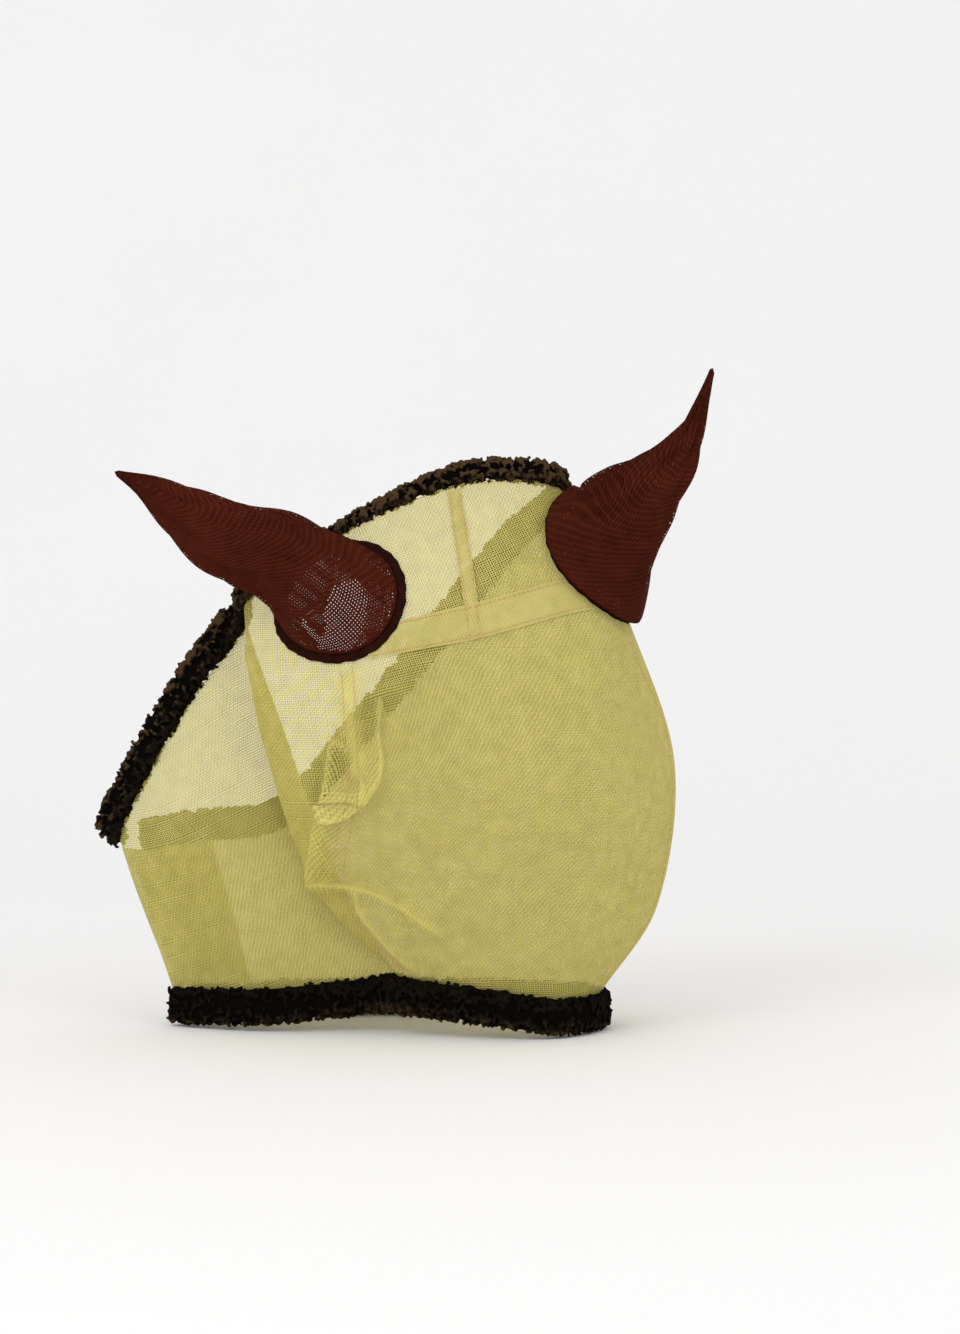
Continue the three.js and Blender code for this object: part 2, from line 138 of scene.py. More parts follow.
def through(knots, values, t):
    """A smooth curve through values (n, ..., 3) at knots, for each t."""
    n = len(knots)
    before, after = np.maximum(np.arange(n) - 1, 0), np.minimum(np.arange(n) + 1, n - 1)
    span = (knots[after] - knots[before]).reshape(-1, *[1] * (values.ndim - 1))
    slopes = (values[after] - values[before]) / span
    i = np.clip(np.searchsorted(knots, t, "right") - 1, 0, n - 2)
    h = knots[i + 1] - knots[i]
    s = (t - knots[i]) / h
    extra = values.ndim - 2
    s, h = (a.reshape(*a.shape, *[1] * extra) for a in (s, h))
    return hermite(values[i], values[i + 1], slopes[i], slopes[i + 1], s, h)


gaps = np.sqrt(np.linalg.norm(np.roll(LINES, -1, axis=0)[:, 2] - LINES[:, 2], axis=1))


def smooth_cloth(u, v):
    """The cloth without its creases, at arrays u and v of one shape."""
    shape = np.broadcast(u, v).shape
    u, v = (np.broadcast_to(a, shape).ravel().astype(float) for a in (u, v))
    across = through(STATIONS, LINES.transpose(1, 0, 2), v)
    span = (gaps + np.roll(gaps, 1))[None, :, None]
    slopes = (np.roll(across, -1, axis=1) - np.roll(across, 1, axis=1)) / span
    turn = np.mod(u, ROUND_LINES)
    i = np.floor(turn).astype(int) % ROUND_LINES
    nxt = (i + 1) % ROUND_LINES
    row = np.arange(len(u))
    points = hermite(across[row, i], across[row, nxt], slopes[row, i], slopes[row, nxt], turn - i, gaps[i])
    return points.reshape(*shape, 3)


def unit(a):
    """Vectors scaled to length 1."""
    return a / np.maximum(np.linalg.norm(a, axis=-1, keepdims=True), 1e-12)


def cloth_frame(u, v):
    """Directions on the smooth cloth: round it, up it, and out of it."""
    e = 1e-3
    along = unit(smooth_cloth(u + e, v) - smooth_cloth(u - e, v))
    up = unit(smooth_cloth(u, np.minimum(v + e, 1)) - smooth_cloth(u, np.maximum(v - e, 0)))
    out = unit(np.cross(along, up))
    return along, np.cross(out, along), out


# Creases in the face and left temple: the points (x, z) each runs through, its half-width, how far it stands
# out of the cloth and how far it leans over, in millimetres, and how far it closes the weave, from 0 to 1;
# the closing also paints a highlight along the ridge.
# One that runs down leans to +X, and one that runs to +X leans up.
CREASES = [
    ([(-55, 247), (-59, 226), (-60, 209), (-58, 196)], 3, 6, -3, 0.9),
    ([(-58, 196), (-64, 163), (-71, 133), (-76, 122)], 8, 8, -9, 0.6),
    ([(-58, 252), (-47, 244), (-39, 229), (-31, 215), (-33, 208)], 3.5, 6, 3, 0.9),
    ([(-59, 204), (-33, 207)], 3, 5, -5, 0.7),
    ([(-18, 285), (-21, 258), (-17, 237), (-19, 221), (-30, 204), (-44, 193), (-55, 188)], 4.5, 9, 6, 0.8),
    ([(-18, 285), (-12, 270), (2, 259), (10, 250)], 2.5, 4, 2, 0.7),
    ([(-76, 122), (-60, 127), (-37, 126), (-18, 121), (4, 109), (29, 90)], 4, 7, 6, 0.8),
    ([(-37, 122), (-35, 109), (-23, 93), (-6, 72), (10, 55)], 3, 4, 2, 0.6),
    ([(-44, 302), (-41, 262), (-35, 232)], 14, 3, 2, 0.75),
    ([(-67, 228), (-67, 206)], 8, -5, 0, 0),
    ([(-48, 234), (-46, 216)], 7, -6, 0, 0),
    ([(-26, 280), (-27, 248)], 5, -5, 0, 0),
    ([(-128, 320), (-116, 290)], 4, 5, 4, 0.4),
    ([(-112, 200), (-92, 130)], 8, 4, 0, 0),
]


def creases(points):
    """How far the cloth stands out at each point, how far it leans along x and z, and how closed it is."""
    x, z = points[..., 0], points[..., 2]
    lift = 0.0009 * np.sin(38 * x + 21 * z) + 0.0007 * np.sin(61 * z - 27 * x + 1.3)
    lean = np.zeros((*x.shape, 2))
    closed = np.zeros(x.shape)
    for line, half, height, over, closing in CREASES:
        line = np.array(line) / 1000
        nearest = np.full(x.shape, np.inf)
        side = np.zeros((*x.shape, 2))
        for a, b in zip(line, line[1:]):
            length = np.linalg.norm(b - a)
            along = (b - a) / length
            t = np.clip(((x - a[0]) * along[0] + (z - a[1]) * along[1]) / length, 0, 1) * length
            away = np.hypot(x - a[0] - t * along[0], z - a[1] - t * along[1])
            side = np.where((away < nearest)[..., None], [-along[1], along[0]], side)
            nearest = np.minimum(away, nearest)
        share = np.exp(-((nearest / (half / 1000)) ** 1.5))
        lift = lift + height / 1000 * share
        lean = lean + over / 1000 * share[..., None] * side
        closed = np.maximum(closed, closing * np.exp(-((nearest / (0.6 * half / 1000)) ** 2)))
    return lift, lean, closed


def crease_share(u, v):
    """The creases belong to the face and left temple, and fade towards the fleeces."""
    round_it = np.exp(-(((np.mod(u, ROUND_LINES) - 4.9) / 1.3) ** 4))
    return round_it * np.clip(np.minimum(v, 1 - v) / 0.08, 0, 1)


def cloth(u, v, out=0.0):
    """The creased cloth at (u, v), moved out by out."""
    points = smooth_cloth(u, v)
    outward = cloth_frame(u, v)[2]
    lift, lean = creases(points)[:2]
    share = crease_share(u, v)
    sideways = np.stack([lean[..., 0], np.zeros(lift.shape), lean[..., 1]], axis=-1)
    sideways = sideways - outward * np.sum(sideways * outward, axis=-1, keepdims=True)
    return points + outward * (lift * share + out)[..., None] + sideways * share[..., None]


def closed_weave(u, v):
    """How closed the weave is at (u, v), from 0 to 1: along the creases, and a little on the hidden side,
    where the closer weave is painted shade standing in for the shade inside the mask.
    """
    turn = np.mod(u, ROUND_LINES)
    hidden = HIDDEN_CLOSED * np.clip((turn - 8) / 0.5, 0, 1) * np.clip((13.2 - turn) / 0.6, 0, 1)
    return np.maximum(creases(smooth_cloth(u, v))[2] * crease_share(u, v), hidden)


# ---- Meshes ----
def make_object(name, vertices, faces, material, uv=None):
    """A smooth mesh object in the scene. uv holds each vertex's place in the flat."""
    mesh = bpy.data.meshes.new(name)
    mesh.from_pydata([tuple(p) for p in vertices], [], [tuple(f) for f in faces])
    if uv is not None:
        layer = mesh.uv_layers.new(name="weave")
        index = np.empty(len(mesh.loops), dtype=int)
        mesh.loops.foreach_get("vertex_index", index)
        layer.data.foreach_set("uv", uv[index].astype(np.float32).ravel())
    mesh.polygons.foreach_set("use_smooth", [True] * len(mesh.polygons))
    mesh.materials.append(material)
    piece = bpy.data.objects.new(name, mesh)
    bpy.context.collection.objects.link(piece)
    return piece


def grid_faces(rows, columns, closed=False):
    """Quads of a grid stored row by row; a closed one joins its last column to its first."""
    j, i = np.meshgrid(np.arange(rows - 1), np.arange(columns if closed else columns - 1), indexing="ij")
    k = (i + 1) % columns
    row, above = j * columns, (j + 1) * columns
    return np.stack([row + i, row + k, above + k, above + i], axis=-1).reshape(-1, 4)


def flat_pattern(points, grain=0.0):
    """Lengths along the rows and up the columns of a grid of points, turned by the grain angle."""
    across = np.linalg.norm(np.diff(points, axis=1), axis=2)
    x = np.concatenate([np.zeros((len(points), 1)), np.cumsum(across, axis=1)], axis=1)
    x = x - x[:, x.shape[1] // 2 : x.shape[1] // 2 + 1]
    upward = np.linalg.norm(np.diff(points, axis=0), axis=2)
    y = np.concatenate([np.zeros((1, points.shape[1])), np.cumsum(upward, axis=0)], axis=0)
    c, s = math.cos(grain), math.sin(grain)
    return np.stack([c * x - s * y, s * x + c * y], axis=-1)


def sheet_piece(name, points, flat, material, keep=None, closed=None):
    """A sheet from a grid of points and their places in the flat.

    closed is how closed its weave is at each point, and keep says which points stay.
    """
    rows, columns = points.shape[:2]
    faces = grid_faces(rows, columns)
    if keep is not None:
        faces = faces[keep.ravel()[faces].any(axis=1)]
    used = np.unique(faces)
    place = np.full(rows * columns, -1)
    place[used] = np.arange(len(used))
    vertices, uv = points.reshape(-1, 3)[used], flat.reshape(-1, 2)[used]
    piece = make_object(name, vertices, place[faces], material, uv)
    if closed is not None:
        attribute = piece.data.attributes.new("closed", "FLOAT", "POINT")
        attribute.data.foreach_set("value", closed.ravel()[used])
    return piece


# ---- Materials ----
class Look:
    """A Principled material and short ways to add nodes to it."""

    def __init__(self, name, roughness, **inputs):
        self.material = bpy.data.materials.new(name)
        self.material.use_nodes = True
        self.tree = self.material.node_tree
        self.shader = next(n for n in self.tree.nodes if n.type == "BSDF_PRINCIPLED")
        self.shader.inputs["Roughness"].default_value = roughness
        for socket, value in inputs.items():
            self.shader.inputs[socket.replace("_", " ")].default_value = value

    def node(self, kind, values=(), **settings):
        node = self.tree.nodes.new("ShaderNode" + kind)
        for key, value in settings.items():
            setattr(node, key, value)
        for i, value in enumerate(values):
            self.put(node.inputs[i], value)
        return node

    def put(self, socket, value):
        if isinstance(value, bpy.types.NodeSocket):
            self.tree.links.new(value, socket)
        elif value is not None:
            socket.default_value = value

    def math(self, operation, *values):
        return self.node("Math", values, operation=operation).outputs[0]

    def noise(self, where, scale, detail=2.0):
        node = self.node("TexNoise", (where,))
        node.inputs["Scale"].default_value = scale
        node.inputs["Detail"].default_value = detail
        return node.outputs["Fac"]

    def ramp(self, fac, *stops):
        """A colour ramp: stops are (position, (r, g, b))."""
        node = self.node("ValToRGB", (fac,))
        elements = node.color_ramp.elements
        while len(elements) < len(stops):
            elements.new(0.5)
        for element, (position, colour) in zip(elements, stops):
            element.position = position
            element.color = (*colour, 1)
        return node.outputs["Color"]

    def mix(self, fac, a, b, blend="MIX"):
        node = self.node("Mix", data_type="RGBA", blend_type=blend)
        self.put(node.inputs["Factor"], fac)
        self.put(node.inputs[6], a)
        self.put(node.inputs[7], b)
        return node.outputs[2]

    def bump(self, height, strength, distance):
        node = self.node("Bump")
        node.inputs["Strength"].default_value = strength
        node.inputs["Distance"].default_value = distance
        self.put(node.inputs["Height"], height)
        self.put(self.shader.inputs["Normal"], node.outputs["Normal"])

    def position(self):
        return self.node("TexCoord").outputs["Object"]

    def colour(self, value):
        self.put(self.shader.inputs["Base Color"], value)


def woven(name, pitch, yarn, drift, colours, roughness, specular, mottle=0.93, clear=0.0):
    """A plain weave with open holes, which shrink where the attribute "closed" is high.

    yarn is a yarn's width and drift how far it strays, both as shares of the pitch. colours are the yarn's
    darkest and lightest, mottle is how dark its patches get, and clear is the share of light let through.
    """
    look = Look(name, roughness, Specular_IOR_Level=specular, Transmission_Weight=clear)
    if clear:
        look.shader.inputs["IOR"].default_value = 1.0
    split = look.node("SeparateXYZ", (look.node("UVMap", uv_map="weave").outputs[0],))
    closed = look.node("Attribute", attribute_name="closed").outputs["Fac"]
    half = look.math("MULTIPLY_ADD", closed, (0.96 - yarn) / 2, yarn / 2)
    where = look.position()
    x = look.math("DIVIDE", split.outputs[0], pitch)
    y = look.math("DIVIDE", split.outputs[1], pitch)

    def uneven(a, b):
        """Yarns a little unevenly spaced: the shift changes from yarn to yarn, and slowly along each."""
        place = look.node("CombineXYZ", (look.math("MULTIPLY", a, 0.3), look.math("MULTIPLY", b, 0.02)))
        return look.math("MULTIPLY_ADD", look.noise(place.outputs[0], 1.0, 1.0), drift, a)

    def profile(a, b):
        """Height over one set of yarns: a runs across them, b along them."""
        across = look.math("ABSOLUTE", look.math("SUBTRACT", look.math("FRACT", a), 0.5))
        inside = look.math("LESS_THAN", across, half)
        rounded = look.math("SUBTRACT", 1.0, look.math("POWER", look.math("DIVIDE", across, half), 2.0))
        turn = look.math("MULTIPLY", look.math("ADD", b, look.math("FLOOR", a)), math.pi)
        over = look.math("MULTIPLY_ADD", look.math("COSINE", turn), 0.35, 0.65)
        return inside, look.math("MULTIPLY", look.math("MULTIPLY", rounded, over), inside)

    x, y = uneven(x, y), uneven(y, x)
    warp, warp_height = profile(x, y)
    weft, weft_height = profile(y, look.math("ADD", x, 1.0))
    height = look.math("MAXIMUM", warp_height, weft_height)
    # Painted highlight: the yarns are painted lighter on their raised crowns and where the weave is closed,
    # along the crease ridges and a little on the hidden side.
    shade = look.math("MULTIPLY_ADD", look.noise(where, 90.0, 4.0), 0.5, look.math("MULTIPLY", height, 0.5))
    shade = look.math("MULTIPLY_ADD", closed, 0.15, shade)
    dull = (mottle, mottle, 0.97 * mottle)
    patches = look.ramp(look.noise(where, 9.0), (0.3, dull), (0.7, (1.0, 1.0, 1.0)))
    yarns = look.ramp(shade, (0.2, colours[0]), (0.75, colours[1]))
    look.colour(look.mix(1.0, yarns, patches, "MULTIPLY"))
    look.put(look.shader.inputs["Alpha"], look.math("MAXIMUM", warp, weft))
    look.bump(height, 0.6, pitch / 5)
    return look.material


def tape_look(name, dark, light, rib):
    """Woven tape with fine ribs along it."""
    look = Look(name, 0.9, Specular_IOR_Level=0.05)
    flat = look.node("UVMap", uv_map="weave").outputs[0]
    split = look.node("SeparateXYZ", (flat,))
    ribs = look.math("SINE", look.math("MULTIPLY", split.outputs[1], 2 * math.pi / rib))
    cross = look.math("SINE", look.math("MULTIPLY", split.outputs[0], 2 * math.pi / rib))
    height = look.math("MULTIPLY_ADD", look.math("MULTIPLY", ribs, cross), 0.3, 0.5)
    worn = look.noise(look.position(), 140.0, 4.0)
    # Painted highlight: the raised ribs are painted lighter, over a random worn tone.
    shade = look.math("MULTIPLY_ADD", worn, 0.6, look.math("MULTIPLY", height, 0.4))
    look.colour(look.ramp(shade, (0.3, dark), (0.75, light)))
    look.bump(height, 0.5, rib / 3)
    return look.material


def fleece_look():
    """Curly pile, near black in its depths and brown at its tips: the dark depths are painted shade and the
    brown tips a painted highlight.
    """
    look = Look("brown_fleece", 1.0, Specular_IOR_Level=0.05)
    # The "pile" attribute carries painted light: dark in the depths as painted shade, brown at the tips and
    # outer side as painted highlight.
    depth = look.node("Attribute", attribute_name="pile").outputs["Fac"]
    where = look.position()
    fibres = look.noise(where, 900.0, 5.0)
    tufts = look.math("MULTIPLY_ADD", look.noise(where, 330.0, 2.0), 0.5, -0.25)
    shade = look.math("MULTIPLY_ADD", fibres, 0.15, look.math("ADD", depth, tufts))
    dark, middle, tip = (0.0028, 0.002, 0.0015), (0.0105, 0.0068, 0.004), (0.062, 0.037, 0.016)
    look.colour(look.ramp(shade, (0.2, dark), (0.7, middle), (1.1, tip)))
    look.bump(fibres, 0.7, 0.0006)
    return look.material


def thread_look(name, dark, light):
    """Twisted thread."""
    look = Look(name, 0.6, Sheen_Weight=0.2)
    twist = look.noise(look.position(), 1500.0, 2.0)
    look.colour(look.ramp(twist, (0.35, dark), (0.65, light)))
    look.bump(twist, 0.4, 0.0002)
    return look.material


MESH_COLOURS = (0.42, 0.36, 0.088), (0.77, 0.67, 0.2)
BAND_COLOURS = (0.46, 0.39, 0.11), (0.66, 0.57, 0.19)
NET_COLOURS = (0.034, 0.006, 0.0027), (0.102, 0.0185, 0.0085)
YELLOW_MESH = woven("yellow_mesh", YARN_PITCH, 0.555, 1.5, MESH_COLOURS, 0.55, 0.2, clear=0.2)
YELLOW_BAND = woven("yellow_band", YARN_PITCH * 0.9, 0.72, 0.8, BAND_COLOURS, 0.6, 0.2)
BROWN_NET = woven("brown_net", NET_PITCH, 0.64, 0.9, NET_COLOURS, 0.9, 0.03, mottle=0.6)
DARK_BINDING = tape_look("dark_binding", (0.011, 0.0022, 0.0015), (0.031, 0.0068, 0.004), 0.0011)
LOOP_TAPE = tape_look("hook_and_loop", (0.45, 0.39, 0.15), (0.68, 0.6, 0.3), 0.0009)
FLEECE = fleece_look()
PEACH_THREAD = thread_look("peach_thread", (0.55, 0.3, 0.1), (0.78, 0.5, 0.2))


# ---- Seams as u at a given v ----
def seam(pairs):
    """A seam that runs smoothly through pairs of (v, u)."""
    v_at, u_at = np.array(pairs).T

    def line(v):
        i = np.clip(np.searchsorted(v_at, v, "left"), 1, len(v_at) - 1)
        share = ease((v - v_at[i - 1]) / (v_at[i] - v_at[i - 1]))
        return u_at[i - 1] + (u_at[i] - u_at[i - 1]) * share

    return line


LEFT_DART = seam([(0, 4.35), (0.24, 4.45), (0.5, 4.86), (1, 4.9)])
RIGHT_DART = seam([(0, 7.86), (0.24, 7.97), (0.5, 7.92), (BROW, 7.42), (1, 7.5)])


def straight(u):
    """A seam that follows one design line."""
    return lambda v: np.full_like(v, u)


# ---- Ears ----
EARS = {
    "left_ear": {
        "side": 1,
        "middle": (4.95, 0.845),
        "radii": (0.5, 0.125),
        "turn": degrees(50),
        "across": (0.4, 0, 0.917),
        "flare": (0.0, 0.006),
        "lining": 0.03,
        "windows": [((-45, 355), (20, 34), 12), ((-73, 341), (4.5, 21), -35)],
        "sections": [
            ((-91, -70, 405), 36, 21),
            ((-116, -74, 414), 34, 18),
            ((-146, -72, 427), 28, 13),
            ((-177, -66, 446), 19, 9),
            ((-202, -62, 463), 9, 5),
            ((-222, -60, 473), 2.6, 2.4),
        ],
    },
    "right_ear": {
        "side": -1,
        "middle": (7.36, 0.825),
        "radii": (0.6, 0.13),
        "turn": 0.0,
        "across": (-0.76, 0, 0.65),
        "flare": (0.16, 0.010),
        "lining": 0.03,
        "windows": [],
        "sections": [
            ((198, -66, 436), 41, 23),
            ((214, -68, 456), 33, 18),
            ((232, -66, 474), 23, 13),
            ((250, -60, 494), 14, 9),
            ((263, -54, 522), 7, 5.5),
            ((274, -50, 558), 2.6, 2.4),
        ],
    },
}


def oval(ear, angles, grow=0.0):
    """(u, v) round an ear's opening, grown by a share of its radii."""
    a = angles + ear["turn"]
    u = ear["middle"][0] + ear["side"] * ear["radii"][0] * (1 + grow) * np.sin(a)
    v = ear["middle"][1] + ear["radii"][1] * (1 + grow) * np.cos(a)
    return u, v


def cut_ovals(u, v):
    """Marks the points outside the ears' openings, and moves the ones inside to the opening's edge."""
    keep = np.ones(u.shape, bool)
    for ear in EARS.values():
        du = (u - ear["middle"][0]) / ear["radii"][0]
        dv = (v - ear["middle"][1]) / ear["radii"][1]
        radius = np.maximum(np.hypot(du, dv), 1e-6)
        inside = radius < 1
        keep &= ~inside
        u = np.where(inside, ear["middle"][0] + ear["radii"][0] * du / radius, u)
        v = np.where(inside, ear["middle"][1] + ear["radii"][1] * dv / radius, v)
    return u, v, keep


# ---- Panels ----
def panel(name, start, end, low, high, material=YELLOW_MESH, grain=0.0, out=0.0, cut=True):
    """A sheet of cloth between two seams and two heights."""
    rows = max(3, round((high - low) * 0.42 / CLOTH_STEP))
    v = np.linspace(low, high, rows)
    a, b = start(v), end(v)
    middle_row = smooth_cloth(np.linspace(a[rows // 2], b[rows // 2], 20), v[rows // 2])
    width = np.linalg.norm(np.diff(middle_row, axis=0), axis=1).sum()
    columns = max(3, round(width / CLOTH_STEP))
    s = np.linspace(0, 1, columns)
    u = a[:, None] + (b - a)[:, None] * s
    v = np.repeat(v[:, None], columns, axis=1)
    keep = None
    if cut:
        u, v, keep = cut_ovals(u, v)
    offset = out(u, v) if callable(out) else out
    flat = flat_pattern(smooth_cloth(u, v), grain)
    return sheet_piece(name, cloth(u, v, offset), flat, material, keep, closed_weave(u, v))


def finish_piece(piece, body, *nodes, slot, flat=None, held="stretched"):
    """Ties a piece to its body and hides its CAD nodes; slot is not used. flat, a sheet's cut (its width,
    length and area), is not used.

    The body "fold" is for cloth that turns from the hood to the flap at the jaw fold.
    """
    if body == "fold":
        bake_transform(piece)
    else:
        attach(piece, body)
    if nodes:
        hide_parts(*nodes)


def under_flap(u, v):
    """The hidden cheek lies further in where it runs under the flap."""
    return -CLOSURE_LAYER * ease((u - (CLOSURE_FROM - 0.5)) / 0.5)


def over_tongue(u, v):
    """The flap lies over the hidden cheek's tongue, and comes in to the left cheek at the jaw fold."""
    return CLOSURE_LAYER / 2 * ease((JAW_FOLD - u) / 0.4)


# Each panel: its node, the seams it lies between, its two heights, its grain in degrees, how far out it is
# moved, and its body.
PANELS = [
    ("face_panel", LEFT_DART, RIGHT_DART, 0, BROW, -9, 0.0, "hood"),
    ("left_temple_panel", straight(CHEEK_SEAM), LEFT_DART, 0, 1, 4, 0.0, "hood"),
    ("left_cheek_panel", straight(JAW_SEAM), straight(CHEEK_SEAM), 0, 1, -16, 0.0, "hood"),
    ("right_temple_panel", RIGHT_DART, straight(HIDDEN_SEAM), 0, 1, 35, 0.0, "hood"),
    ("left_poll_panel", LEFT_DART, straight(POLL_SEAM), BROW, 1, -10, 0.0, "hood"),
    ("right_poll_panel", straight(POLL_SEAM), RIGHT_DART, BROW, 1, -10, 0.0, "hood"),
    ("right_cheek_panel", straight(HIDDEN_SEAM), straight(CLOSURE_END), 0, 1, -36, under_flap, "hood"),
    ("closure_flap", straight(CLOSURE_FROM), straight(JAW_FOLD + JAW_SEAM), 0, 1, -36, over_tongue, "fold"),
]
# Each sheet's cut, laid flat: width and length in metres, and area in square metres.
FLAT = {
    "face_panel": (0.33, 0.345, 0.092),
    "left_temple_panel": (0.135, 0.46, 0.035),
    "left_cheek_panel": (0.205, 0.33, 0.043),
    "right_temple_panel": (0.13, 0.5, 0.04),
    "left_poll_panel": (0.135, 0.18, 0.0105),
    "right_poll_panel": (0.12, 0.155, 0.0118),
    "right_cheek_panel": (0.32, 0.61, 0.103),
    "closure_flap": (0.095, 0.135, 0.0118),
    "brow_band": (0.031, 0.2, 0.0059),
    "poll_tape": (0.0125, 0.105, 0.0013),
    "flap_binding": (0.016, 0.13, 0.002),
    "hook_tape": (0.047, 0.112, 0.005),
    "loop_tape": (0.047, 0.112, 0.005),
    "left_ear_net": (0.25, 0.315, 0.036),
    "right_ear_net": (0.22, 0.28, 0.033),
    "left_ear_lining": (0.24, 0.29, 0.03),
    "right_ear_lining": (0.2, 0.26, 0.026),
    "left_ear_binding": (0.0135, 0.355, 0.0041),
    "right_ear_binding": (0.0135, 0.32, 0.0036),
}
for name, start, end, low, high, grain, out, body in PANELS:
    piece = panel(name + "_cloth", start, end, low, high, grain=degrees(grain), out=out)
    finish_piece(piece, body, name, slot="yellow_mesh", flat=FLAT[name])


# ---- Fleece ----
def icosphere():
    """Points and faces of a ball of radius 1, the least round one that a curl needs."""
    phi = (1 + 5**0.5) / 2
    points = [(-1, phi, 0), (1, phi, 0), (-1, -phi, 0), (1, -phi, 0), (0, -1, phi), (0, 1, phi)]
    points += [(0, -1, -phi), (0, 1, -phi), (phi, 0, -1), (phi, 0, 1), (-phi, 0, -1), (-phi, 0, 1)]
    faces = [(0, 11, 5), (0, 5, 1), (0, 1, 7), (0, 7, 10), (0, 10, 11), (1, 5, 9), (5, 11, 4), (11, 10, 2)]
    faces += [(10, 7, 6), (7, 1, 8), (3, 9, 4), (3, 4, 2), (3, 2, 6), (3, 6, 8), (3, 8, 9), (4, 9, 5)]
    faces += [(2, 4, 11), (6, 2, 10), (8, 6, 7), (9, 8, 1)]
    return unit(np.array(points, float)), np.array(faces)


BALL, BALL_FACES = icosphere()


def section_point(angle, depth, thick):
    """A rounded oblong section: (out of the cloth, away from its edge, normal)."""
    half, tall = thick / 2, depth / 2
    c, s = np.cos(angle), np.sin(angle)
    power = 0.55
    n = half * np.sign(c) * np.abs(c) ** power
    d = tall * np.sign(s) * np.abs(s) ** power
    normal = unit(np.stack([c / half, s / tall], axis=-1))
    return n, d, normal


def fleece_frames(u, edge):
    """The cloth's edge at u, and there the directions along it, away from the cloth, and out of it."""
    v = np.full(u.shape, float(edge))
    along, up, outward = cloth_frame(u, v)
    base = smooth_cloth(u, v)
    if edge == 0:
        down = np.broadcast_to([0.0, 0.0, -1.0], along.shape)
        return base, along, down, unit(np.cross(along, -down))
    return base, along, up, outward


def fleece_share(u, edge):
    """How large the fleece is at u, as a share of its full size."""
    if edge == 0:
        return np.ones(u.shape)
    return np.interp(u, *np.array(THROAT_FLEECE_SHARE).T)


def fleece(name, u0, u1, edge, tip_highlight, body, node):
    """A band of curly pile along an edge of the cloth, made of short curls on a core."""
    depth = (NOSE_FLEECE_DEPTH if edge == 0 else THROAT_FLEECE_DEPTH) - 0.005
    thick = FLEECE_THICK - 0.004
    path = smooth_cloth(np.linspace(u0, u1, 60), float(edge))
    length = np.linalg.norm(np.diff(path, axis=0), axis=1).sum()

    def surface(t, angle):
        u = u0 + (u1 - u0) * t
        base, along, away, side = fleece_frames(u, edge)
        share = fleece_share(u, edge)
        n, d, normal = section_point(angle, depth * share, thick * share)
        direction = side * normal[..., :1] + away * normal[..., 1:]
        out = d + 0.0015 + depth / 2 * share
        return base + side * n[..., None] + away * out[..., None], direction, along

    rings = max(12, round(length / 0.004))
    turns = np.linspace(0, 2 * math.pi, CORE_SIDES, endpoint=False)
    t, angle = np.meshgrid(np.linspace(0, 1, rings), turns, indexing="ij")
    core = surface(t, angle)[0].reshape(-1, 3)
    core_faces = grid_faces(rings, CORE_SIDES, closed=True).tolist()
    core_faces += [list(range(CORE_SIDES))[::-1], list(range((rings - 1) * CORE_SIDES, rings * CORE_SIDES))]

    count = round(length * 2 * (depth + thick) / CURL_SPACING**2)
    t, angle = rng.random(count), rng.random(count) * 2 * math.pi
    root, normal, along = surface(t, angle)
    side = np.cross(normal, along)
    heading = rng.random(count)[:, None] * 2 * math.pi
    lean = along * np.cos(heading) + side * np.sin(heading)
    size = rng.uniform(0.75, 1.25, count)[:, None]
    centres, radii = [], []
    for bend in np.linspace(0, 1, CURL_BALLS):
        turn = bend * math.pi
        rise = CURL_HEIGHT * size * math.sin(turn * 0.75)
        run = CURL_HEIGHT * 0.8 * size * (1 - math.cos(turn))
        centres.append(root + normal * rise + lean * run)
        radii.append(CURL_RADIUS * size[:, 0] * (1 - 0.25 * bend))
    centres, radii = np.concatenate(centres), np.concatenate(radii)
    centres[:, 2] = np.maximum(centres[:, 2], radii)
    balls = (centres[:, None] + BALL[None] * radii[:, None, None]).reshape(-1, 3)
    ball_faces = (BALL_FACES[None] + 12 * np.arange(len(centres))[:, None, None] + len(core)).reshape(-1, 3)
    rough = make_object(name, np.concatenate([core, balls]), core_faces + ball_faces.tolist(), FLEECE)
    remesh = rough.modifiers.new("join", "REMESH")
    remesh.mode = "VOXEL"
    remesh.voxel_size = FLEECE_VOXEL
    apply_modifiers(rough)
    paint_pile_light(rough, core, core_faces, tip_highlight)
    finish_piece(rough, body, node, slot="brown_fleece")


def apply_modifiers(piece):
    """Bakes a piece's modifiers into its mesh."""
    bpy.context.view_layer.update()
    evaluated = piece.evaluated_get(bpy.context.evaluated_depsgraph_get())
    mesh = bpy.data.meshes.new_from_object(evaluated)
    piece.modifiers.clear()
    piece.data = mesh
    mesh.polygons.foreach_set("use_smooth", [True] * len(mesh.polygons))


def paint_pile_light(piece, core, core_faces, tip_highlight):
    """Stores each point's painted light as "pile": a painted highlight that grows where the point stands out
    of the core and on the side away from the cloth, and painted shade in the depths.
    """
    tree = BVHTree.FromPolygons(core.tolist(), core_faces)
    values = []
    for vertex in piece.data.vertices:
        face, distance = tree.find_nearest(vertex.co)[2:]
        # The side away from the cloth gets more painted highlight.
        outer = 0.5 + 0.5 * math.sin(2 * math.pi * (face % CORE_SIDES) / CORE_SIDES)
        values.append(tip_highlight * min(1.0, distance / (CURL_HEIGHT + CURL_RADIUS)) * (0.5 + 0.6 * outer))
    piece.data.attributes.new("pile", "FLOAT", "POINT").data.foreach_set("value", values)
